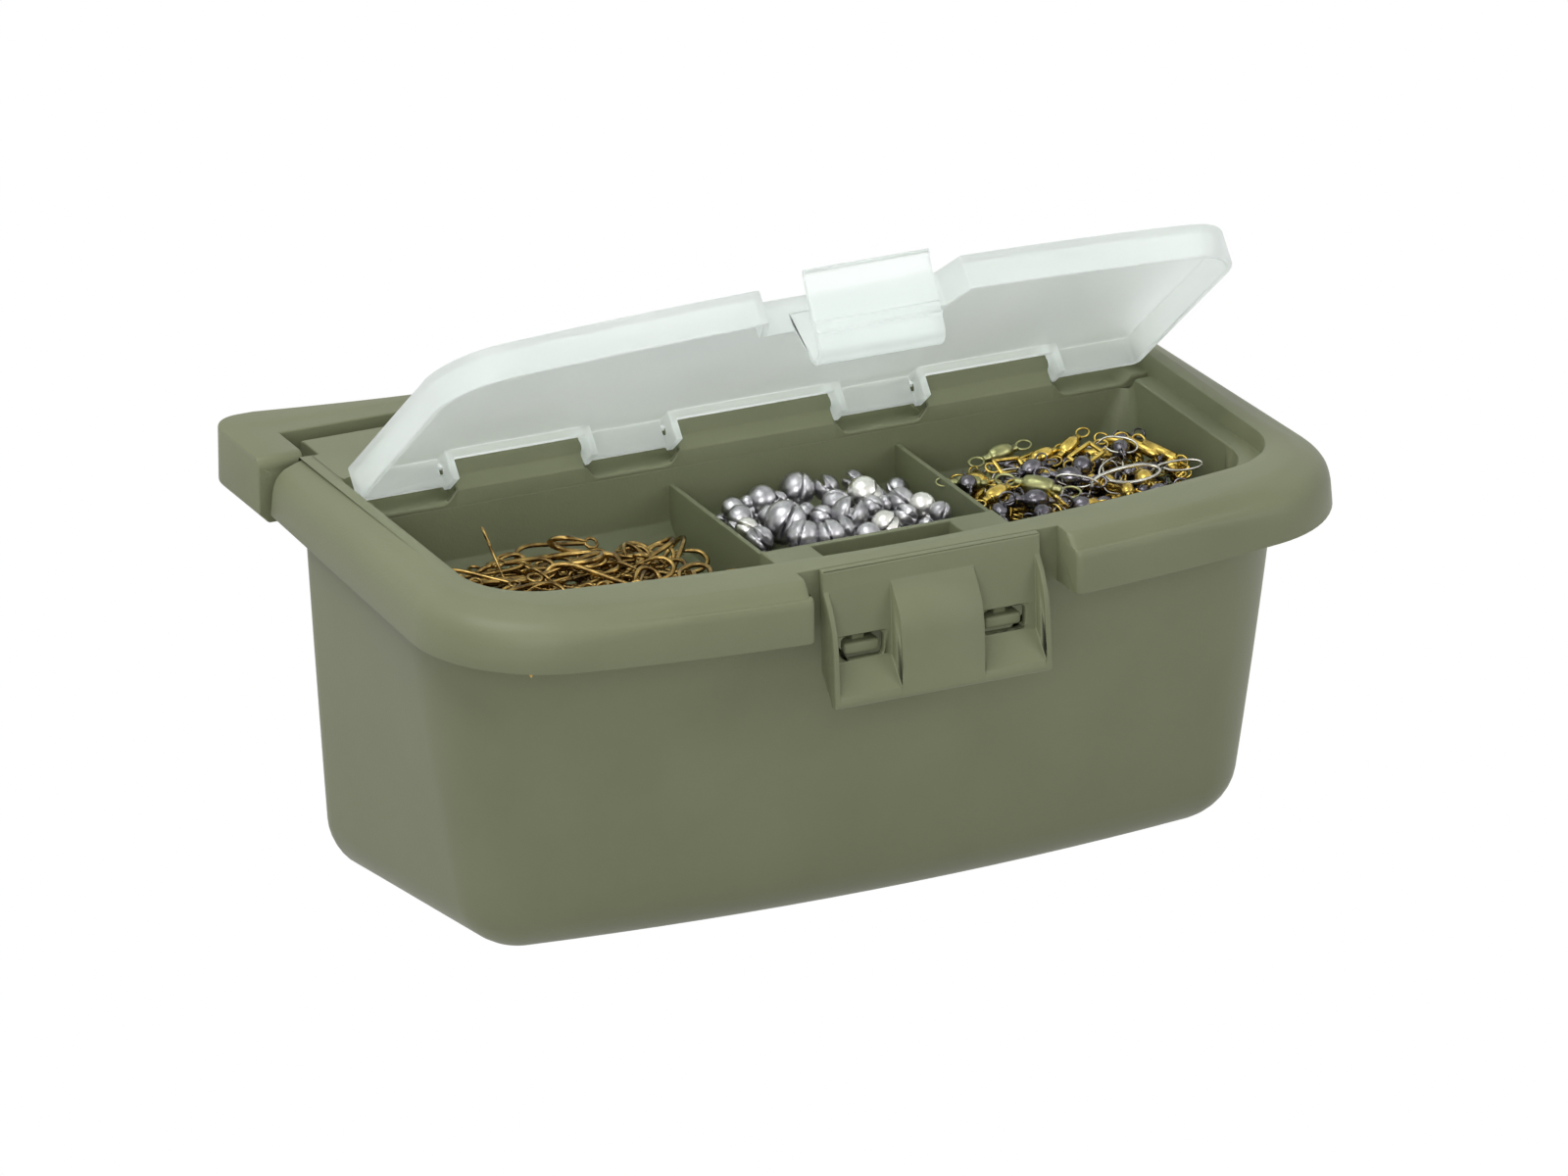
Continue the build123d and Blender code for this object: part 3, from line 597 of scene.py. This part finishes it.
trough = bmesh.new()
sweep(trough, [wall_row(*row) for row in wall_rows], closed=False)
face_up(trough, 0)
floor_corners = ((-72, -41), (72, -41), (86, -29), (89.5, -20),
                 (89.5, 25), (-89.5, 25), (-89.5, -20), (-86, -29))
trough.faces.new([trough.verts.new((x, y, floor_z)) for x, y in floor_corners])
face_up(trough, len(trough.faces) - 1)

# The strip behind the trough runs along X. Its section, as (y, z), turns from the side ledge into the
# pocket and from the pocket into the block and back.
pocket_form = ((25.7, 83.0), (25.6, 83.5), (25.8, 83.85), (26.3, 83.95), (28.0, 83.95), (29.6, 83.95),
               (31.4, 83.95), (33.0, 83.95), (34.4, 84.0), (34.9, 84.3), (35.0, 85.2), (35.0, 87.5),
               (35.0, 90.0))
block_form = ((25.7, 83.0), (25.7, 86.1), (25.9, 86.6), (26.4, 87.1), (28.1, 89.0), (28.45, 90.4),
              (28.9, 91.8), (29.7, 92.45), (30.9, 92.55), (32.0, 92.1), (33.5, 90.9), (34.4, 90.2),
              (35.0, 90.0))
side_form = ((25.7, 83.0), (25.7, 85.2), (25.9, 85.6), (26.3, 85.6), (28.0, 85.6), (29.6, 85.6),
             (31.4, 85.6), (33.0, 85.6), (34.4, 85.6), (34.9, 85.9), (35.0, 86.5), (35.0, 88.0),
             (35.0, 90.0))
blocks = ((-71.4, -41.1), (-18.6, 18.6), (41.1, 71.4))
front_points = 4


def strip_row(x, front_share, rear_share):
    """Section of the strip at x. A share of 0 is the pocket, 1 the block and -1 the side ledge."""
    places = []
    for i, (pocket, block, side) in enumerate(zip(pocket_form, block_form, side_form)):
        share = front_share if i < front_points else rear_share
        other = block if share > 0 else side
        places.append((x, pocket[0] + (other[0] - pocket[0]) * abs(share),
                       pocket[1] + (other[1] - pocket[1]) * abs(share)))
    return places


# A block's front foot spreads a little to either side, while its back rises straight from the pocket.
foot_spread = ((3.2, 0), (2.2, 0.12), (1.3, 0.45), (0.5, 0.85), (0, 0.97))
left_end = [(-94.5, -1, -1), (-90.6, -1, -1), (-89.4, -0.4, -0.4), (-88.2, 0, 0)]
strip = list(left_end)
for x0, x1 in blocks:
    strip += [(x0 - away, share, 0) for away, share in foot_spread]
    strip += [(x0 + 0.02, 1, 1), (x1 - 0.02, 1, 1)]
    strip += [(x1 + away, share, 0) for away, share in reversed(foot_spread)]
strip += [(-x, front, rear) for x, front, rear in reversed(left_end)]
trough_faces = len(trough.faces)
sweep(trough, [strip_row(*section) for section in strip], closed=False)
face_up(trough, trough_faces)
to_metres(trough)
finish_moulding(trough, "tray_lid_compartments", "tray_lid", olive_plastic,
                edge=0.3 * mm, turn=24)

divider_top = 79.2
divider_foot = 66.0
divider_thickness = 1.2
divider_length = 68.2
for name, x in (("divider_left", -20.7), ("divider_right", 33.6)):
    wall = bmesh.new()
    add_block(wall, (divider_thickness, divider_length, divider_top - divider_foot),
              (x, -8.2, (divider_top + divider_foot) / 2))
    to_metres(wall)
    finish_moulding(wall, name, "tray_lid", olive_plastic, edge=0.2 * mm, turn=40)

# Front latch: a thin tab of olive plastic with two windows, a thumb bulge and two fins, moulded in
# one with the tray lid. It bends at its top edge and its windows catch on the bin.


def is_window_corner(edge):
    """Whether the edge runs straight through the tab at a corner of one of its windows."""
    first, second = (v.co / mm for v in edge.verts)
    along = first - second
    return (abs(along.y) > 1.0 and along.xz.length < 0.01 and 68.5 < first.z < 75.5
            and 10.5 < abs(first.x) < 23.5)


shape = merged_copy("front_latch")
flat_faces(shape)
corner_radius = 1.2 * mm
window_corners = [e for e in shape.edges if is_window_corner(e)]
bmesh.ops.bevel(shape, geom=window_corners, offset=corner_radius, segments=3, profile=0.5, affect="EDGES",
                material=-1)
bmesh.ops.triangulate(shape, faces=shape.faces, quad_method="BEAUTY", ngon_method="EAR_CLIP")
latch_piece = finish_moulding(shape, "front_latch_tab", "front_latch", olive_plastic,
                              edge=0.3 * mm, turn=25)
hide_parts("front_latch")

# Clear lid and its clasp: one moulding of natural, milky plastic, whose tabs clip onto the studs of
# the hinge blocks. Light comes through it, but only what lies close behind it shows.
clear_plastic = new_material("clear_plastic")
surface(clear_plastic)["Transmission Weight"].default_value = 0.77
# The faint emission is a painted glow. It lifts the milky plastic's shaded underside as if lamp light came
# through it.
surface(clear_plastic)["Emission Color"].default_value = (0.90, 0.97, 0.94, 1)
surface(clear_plastic)["Emission Strength"].default_value = 0.07
surface(clear_plastic)["IOR"].default_value = 1.3
haze = noise(clear_plastic, scale=30.0, detail=5.0)
tint(clear_plastic, haze, dark=(0.85, 0.89, 0.87), light=(0.92, 0.945, 0.93))
vary_roughness(clear_plastic, haze, low=0.28, high=0.42)
raise_grain(clear_plastic, noise(clear_plastic, scale=400.0), strength=0.08, height=0.2 * mm)

shape = merged_copy("clear_lid")
flat_faces(shape)
lid_piece = finish_moulding(shape, "clear_lid_moulding", "clear_lid", clear_plastic,
                            edge=0.3 * mm)
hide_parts("clear_lid")
shape = merged_copy("lid_clasp")
flat_faces(shape)
clasp_piece = finish_moulding(shape, "lid_clasp_leg", "lid_clasp", clear_plastic,
                              edge=0.2 * mm)
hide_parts("lid_clasp")

# Fish hooks: bent steel wire, bronzed, with a ring eye and a barb. They lie loose in the left
# compartment, so a few are placed one by one on top of a heap that is thrown in.


def metal(name, colour, dark, rough):
    """Plated or bare metal with darker, duller patches and a fine grain."""
    mat = new_material(name)
    surface(mat)["Metallic"].default_value = 1.0
    patches = noise(mat, scale=320.0, detail=4.0)
    tint(mat, patches, dark, colour, dark_end=0.35, light_end=0.62)
    vary_roughness(mat, patches, low=rough + 0.12, high=rough - 0.06)
    raise_grain(mat, noise(mat, scale=1500.0), strength=0.12, height=0.1 * mm)
    return mat


def wire(points, thickness, closed=False, taper=1.0):
    """Mesh of a round wire along points in millimetres, whose end has a share, taper, of its thickness."""
    data = bpy.data.curves.new("wire", "CURVE")
    data.dimensions = "3D"
    data.bevel_depth = thickness / 2
    data.bevel_resolution = 1
    data.resolution_u = 3
    data.use_fill_caps = not closed
    spline = data.splines.new("NURBS")
    spline.points.add(len(points) - 1)
    for point, place in zip(spline.points, points):
        point.co = (*place, 1)
    spline.points[-1].radius = taper
    spline.order_u = 3
    spline.use_cyclic_u = closed
    spline.use_endpoint_u = not closed
    holder = bpy.data.objects.new("wire", data)
    mesh = bpy.data.meshes.new_from_object(holder)
    bpy.data.objects.remove(holder)
    bpy.data.curves.remove(data)
    return mesh


def ring_points(radius, x, count=8, flat=1.0):
    """Points of a ring about (x, 0) in millimetres."""
    turns = [2 * math.pi * i / count for i in range(count)]
    return [(x + radius * math.cos(a), flat * radius * math.sin(a), 0) for a in turns]


def put(heap, meshes, place):
    """Add copies of the meshes to the heap at a place."""
    for mesh in meshes:
        before = len(heap.verts)
        heap.from_mesh(mesh)
        heap.verts.ensure_lookup_table()
        bmesh.ops.transform(heap, matrix=place, verts=heap.verts[before:])


def lying(x, y, z, yaw, pitch, roll, size=1.0):
    """Place in millimetres, turned by angles in degrees."""
    return (Matrix.Translation((x, y, z)) @ Matrix.Rotation(math.radians(yaw), 4, "Z")
            @ Matrix.Rotation(math.radians(pitch), 4, "Y") @ Matrix.Rotation(math.radians(roll), 4, "X")
            @ Matrix.Scale(size, 4))


def finish_heap(heap, name, material, slot, *nodes):
    """Make the heap one piece that lies in the tray."""
    to_metres(heap)
    piece = make_piece(heap, name, material)
    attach(piece, "tray_lid")
    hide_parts(*nodes)


def lies_in(room, places):
    """Whether all the places lie in a room, given as its limits in x, y and z."""
    return all(low < c < high for place in places for c, (low, high) in zip(place, room))


bronze_wire = metal("bronze_wire", (0.42, 0.28, 0.09), (0.11, 0.068, 0.024), 0.22)
hook = [
    wire([(0, 0, 0), (5, 0.1, 0), (10, 0, 0), (13.2, 0.1, 0), (16.2, 1.3, 0.1), (17.2, 4.2, 0.3),
          (15.0, 6.9, 0.4), (12.0, 6.9, 0.5), (8.6, 5.4, 0.6)], 1.15, taper=0.15),
    wire([(9.4, 5.9, 0.6), (10.2, 5.6, 0.6), (11.4, 5.0, 0.6)], 0.6, taper=0.1),
    wire(ring_points(1.5, -1.6), 0.85, closed=True),
]
# The heap slopes down towards the divider and the rear wall. A hook that would stick out of the room
# inside the compartment isn't thrown in.
hook_tries = 330
heap_foot = 67.6
heap_rise = 11.0
heap_crest = 78.0
left_room = ((-88.5, -27.0), (-40.0, 8.5), (67.7, 80.5))
heap = bmesh.new()
toss = random.Random(11)
for i in range(hook_tries):
    x = toss.uniform(-87, -36)
    y = toss.uniform(-33, 6)
    level = min(heap_foot + heap_rise * i / hook_tries, heap_crest - max(0.0, x + 48) * 0.42)
    level -= max(0.0, y + 2) * 0.25
    yaw = toss.choice((0, 180)) + toss.gauss(0, 42)
    spot = lying(x, y, level, yaw, toss.gauss(0, 9), toss.gauss(0, 38), toss.uniform(0.75, 1.05))
    ends = [spot @ Vector(p) for p in ((17, 3, 0), (-3, 0, 0), (9, 7, 0))]
    if lies_in(left_room, ends):
        put(heap, hook, spot)
put(heap, hook, lying(-45.5, -7.5, 78.0, 164, 1, -24, 1.15))
put(heap, hook, lying(-72, 1, 78.8, -12, -3, 168, 1.2))
put(heap, hook, lying(-74.6, -3.4, 78.6, 92, -38, 60, 0.62))
put(heap, hook, lying(-68, -9, 79.0, 14, -5, 190, 1.05))
put(heap, hook, lying(-46, -8, 79.0, 150, -4, 40, 1.05))
put(heap, hook, lying(-52, 3.5, 79.0, 172, -5, -30, 0.95))
finish_heap(heap, "fish_hooks", bronze_wire, "bronze_wire", "hooks_lower", "hooks_middle", "hooks_upper")

# Split shot: small balls cast in lead, with a slit that is pinched shut on the line. They lie loose in
# the middle compartment, and a few are of bright tin.
lead = metal("lead", (0.60, 0.59, 0.61), (0.30, 0.295, 0.31), 0.30)
bright_tin = metal("bright_tin", (0.92, 0.91, 0.86), (0.74, 0.73, 0.68), 0.26)


def slit_ball(gap, depth):
    """Ball of radius 1 with a slit cut into its top, wider at its mouth."""
    ball = bmesh.new()
    bmesh.ops.create_uvsphere(ball, u_segments=20, v_segments=12, radius=1.0)
    for x in (-gap, gap):
        bmesh.ops.bisect_plane(ball, geom=ball.verts[:] + ball.edges[:] + ball.faces[:],
                               plane_co=(x, 0, 0), plane_no=(1, 0, 0))
    mouth = [f for f in ball.faces
             if abs(f.calc_center_median().x) < gap and f.calc_center_median().z > -0.25]
    cut = bmesh.ops.extrude_face_region(ball, geom=mouth)["geom"]
    floor_verts = [g for g in cut if isinstance(g, bmesh.types.BMVert)]
    bmesh.ops.delete(ball, geom=mouth, context="FACES_ONLY")
    bmesh.ops.scale(ball, vec=(0.25, 1 - depth, 1 - depth), verts=floor_verts)
    bmesh.ops.recalc_face_normals(ball, faces=ball.faces)
    mesh = bpy.data.meshes.new("slit_ball")
    ball.to_mesh(mesh)
    ball.free()
    return mesh


narrow_slit = slit_ball(gap=0.10, depth=0.75)
wide_slit = slit_ball(gap=0.26, depth=0.80)
heaps = {"lead": bmesh.new(), "bright_tin": bmesh.new()}
toss = random.Random(23)
fill_top = 77.5
# Shots that lie on top where the photograph shows them, as (x, y, radius).
top_shot = (
    (-12.6, 12.2, 2.5), (-8.3, 13.8, 1.9), (-5.0, 13.5, 3.3), (-13.7, 6.4, 2.9), (-7.6, 4.1, 2.7),
    (-15.3, -0.3, 2.7), (-15.6, -7.0, 3.1), (4.3, 15.3, 3.9), (-1.7, 12.5, 2.1), (-6.2, -0.4, 4.6),
    (10.5, 14.1, 2.9), (8.5, 5.0, 3.1), (17.6, 15.1, 2.5), (-1.1, -11.6, 3.5), (7.7, -3.4, 4.2),
    (2.4, -0.8, 2.7), (0.7, 3.8, 2.1), (14.5, -0.4, 2.7), (18.6, 0.7, 2.1), (21.5, -0.1, 3.1),
    (18.7, -8.1, 2.7), (26.5, -9.4, 2.5), (12.6, -10.7, 3.1), (6.9, -14.2, 2.7), (2.6, -9.6, 3.1),
    (-6.3, -9.7, 3.7), (16.4, 7.4, 3.7), (24.7, -4.1, 2.9),
)
# Each shot of the fill is let down at the lowest of a few chance places, onto the floor or the shots
# below, and left out where it would stand too high.
shot_tries = 170
shot_left = -19.6
shot_right = 32.4
shot_front = -31.6
shot_back = 17.5
shot_floor = 67.2
balls = []
for i in range(shot_tries):
    size = toss.uniform(2.4, 3.3) if i % 5 else toss.uniform(3.4, 4.0)
    best = None
    for trial in range(14):
        x = toss.uniform(shot_left + size, shot_right - size)
        y = toss.uniform(shot_front + size, shot_back - size)
        z = shot_floor + size
        for bx, by, bz, br in balls:
            apart = math.hypot(x - bx, y - by)
            if apart < size + br:
                z = max(z, bz + math.sqrt((size + br)**2 - apart**2))
        if best is None or z < best[2]:
            best = (x, y, z, size)
    if best[2] + size < fill_top:
        balls.append(best)
balls += [(x, y, 77.0 + 0.25 * (size - 2.5), size) for x, y, size in top_shot]
for i, (x, y, z, size) in enumerate(balls):
    kind = "bright_tin" if i >= len(balls) - 2 or i % 17 == 5 else "lead"
    ball = wide_slit if i % 2 == 0 else narrow_slit
    put(heaps[kind], [ball], lying(x, y, z, toss.uniform(-50, 60), toss.uniform(-55, 55),
                                   toss.uniform(-10, 70), size))
finish_heap(heaps["lead"], "split_shot_lead", lead, "lead", "split_shot_lower", "split_shot_upper")
finish_heap(heaps["bright_tin"], "split_shot_tin", bright_tin, "bright_tin", "split_shot_bright")

# Swivels and snaps: turned barrels and beads and bent boxes of brass, bare, blackened or lacquered,
# each with a wire loop at either end, and snaps bent from bright wire. They lie loose in the right
# compartment.
brass = metal("brass", (0.74, 0.54, 0.13), (0.34, 0.23, 0.05), 0.20)
black_nickel = metal("black_nickel", (0.20, 0.19, 0.21), (0.09, 0.085, 0.10), 0.20)
olive_lacquer = metal("olive_lacquer", (0.42, 0.42, 0.20), (0.24, 0.24, 0.11), 0.30)
bright_wire = metal("bright_wire", (0.70, 0.68, 0.62), (0.42, 0.40, 0.36), 0.22)


def turned_body(profile):
    """Body of revolution about X from (x, radius) pairs in millimetres."""
    body = bmesh.new()
    verts = [body.verts.new((x, 0, r)) for x, r in profile]
    edges = [body.edges.new((a, b)) for a, b in zip(verts, verts[1:])]
    bmesh.ops.spin(body, geom=verts + edges, cent=(0, 0, 0), axis=(1, 0, 0), angle=2 * math.pi,
                   steps=12, use_merge=True)
    weld_distance = 0.001
    bmesh.ops.remove_doubles(body, verts=body.verts, dist=weld_distance)
    bmesh.ops.recalc_face_normals(body, faces=body.faces)
    mesh = bpy.data.meshes.new("turned_body")
    body.to_mesh(mesh)
    body.free()
    return mesh


neck = [(3.0, 0.75), (3.2, 0.95), (3.45, 0.7), (3.7, 0.95), (3.95, 0.7), (4.2, 0.9), (4.4, 0.6), (4.6, 0.0)]
barrel = turned_body([(-x, r) for x, r in reversed(neck)]
                     + [(-2.9, 1.1), (-2.5, 1.6), (-1.2, 1.9), (0, 1.95), (1.2, 1.9), (2.5, 1.6), (2.9, 1.1)]
                     + neck)
bead = turned_body([(-x, r) for x, r in reversed(neck)]
                   + [(-2.6, 1.0), (-2.2, 1.6), (-1.4, 2.2), (0, 2.5), (1.4, 2.2), (2.2, 1.6), (2.6, 1.0)]
                   + neck)
tube = turned_body([(-5.2, 0.0), (-5.2, 0.7), (-4.6, 0.9), (-4.4, 1.3), (4.4, 1.3), (4.6, 0.9), (5.2, 0.7),
                    (5.2, 0.0)])
loops = [wire(ring_points(1.9, 6.2, flat=0.8), 0.55, closed=True),
         wire(ring_points(1.9, -6.2, flat=0.8), 0.55, closed=True)]
frame_wire = [wire([(-3.6, -2, 0), (3.6, -2, 0), (3.6, -2, 0), (3.6, 2, 0), (3.6, 2, 0), (-3.6, 2, 0),
                    (-3.6, 2, 0), (-3.6, -2, 0)], 1.1, closed=True),
              wire(ring_points(1.9, 5.2, flat=0.8), 0.55, closed=True),
              wire(ring_points(1.9, -5.2, flat=0.8), 0.55, closed=True)]
snap = [wire([(0, 0, 0), (1.5, 1.9, 0), (5, 2.3, 0.2), (10, 1.9, 0.2), (12.4, 0.2, 0), (11.6, -1.7, 0),
              (8, -2.1, 0), (4.0, -1.9, 0.5), (2.8, -0.6, 0.8)], 0.6)]
# Each group is its name, material, slot, kinds of piece, number thrown in and seed of the draws.
groups = (
    ("swivels_brass", brass, "brass",
     ([barrel] + loops, [bead] + loops, frame_wire, [tube] + loops), 110, 31),
    ("swivels_black", black_nickel, "black_nickel", ([bead] + loops, [barrel] + loops), 96, 47),
    ("swivels_olive", olive_lacquer, "olive_lacquer", ([barrel] + loops,), 12, 5),
    ("snap_clips", bright_wire, "bright_wire", (snap,), 44, 71),
)
# Pieces placed one by one where the photograph shows them on top of the heap.
placed = {
    "swivels_olive": [([barrel] + loops, lying(50.5, -8.5, 78.6, -44, 4, 20, 1.2)),
                      ([barrel] + loops, lying(51.0, 10.8, 79.2, 8, -6, 20, 1.0)),
                      ([barrel] + loops, lying(38.5, 1.0, 78.0, -20, 4, 20, 0.9))],
    "swivels_black": [([bead] + loops, lying(53, -0.5, 79.2, 20, 0, 0, 0.95)),
                      ([bead] + loops, lying(58.3, -8.4, 79.2, -38, 4, 40, 1.0)),
                      ([bead] + loops, lying(46.5, -15.2, 78.4, -20, 6, 80, 1.0)),
                      ([bead] + loops, lying(64.0, -2.7, 78.8, 50, 6, 80, 0.95)),
                      ([bead] + loops, lying(37.6, -0.3, 78.4, 70, 6, 80, 0.85)),
                      ([bead] + loops, lying(75.5, 1.3, 79.2, 70, 12, 80, 0.95))],
    "swivels_brass": [([barrel] + loops, lying(40.5, -8.2, 78.4, 24, -6, 10, 0.95)),
                      ([barrel] + loops, lying(65.5, 6.4, 79.8, 32, -14, 10, 0.95)),
                      ([barrel] + loops, lying(58.7, 6.0, 79.0, 12, -6, 10, 0.9)),
                      ([tube] + loops, lying(79.5, -1.0, 79.8, -68, 8, 30, 0.95)),
                      ([tube] + loops, lying(82.0, -4.5, 79.8, -64, 10, 60, 0.95)),
                      ([tube] + loops, lying(78.0, 4.0, 79.4, -30, 10, 60, 0.85)),
                      (frame_wire, lying(49.8, 3.8, 79.0, 12, 8, 30, 0.95)),
                      (frame_wire, lying(66.6, 0.5, 79.8, 24, -10, 20, 1.0))],
    "snap_clips": [(snap, lying(60.0, -15.0, 78.8, 8, -3, 10, 1.45)),
                   (snap, lying(76.0, -12.2, 78.8, -10, -5, 10, 0.95)),
                   (snap, lying(71.0, 4.0, 80.4, -50, -6, 60, 0.8))],
}
right_room = ((35.0, 88.5), (-39.0, 14.0), (68.2, 80.5))
heap_foot = 69.2
heap_rise = 9.2
for name, material, slot, kinds, count, seed in groups:
    heap = bmesh.new()
    toss = random.Random(seed)
    for i in range(count):
        level = heap_foot + heap_rise * (i + 0.5) / count
        spot = lying(toss.uniform(38, 84), toss.uniform(-33, 11), level, toss.uniform(0, 360),
                     toss.gauss(0, 10), toss.uniform(0, 180), toss.uniform(0.7, 0.92))
        ends = [spot @ Vector(p) for p in ((8, 0, 0), (-8, 0, 0), (12, 0, 0))]
        if lies_in(right_room, ends):
            put(heap, kinds[i % len(kinds)], spot)
    for kind, spot in placed[name]:
        put(heap, kind, spot)
    finish_heap(heap, name + "_loose", material, slot, name)
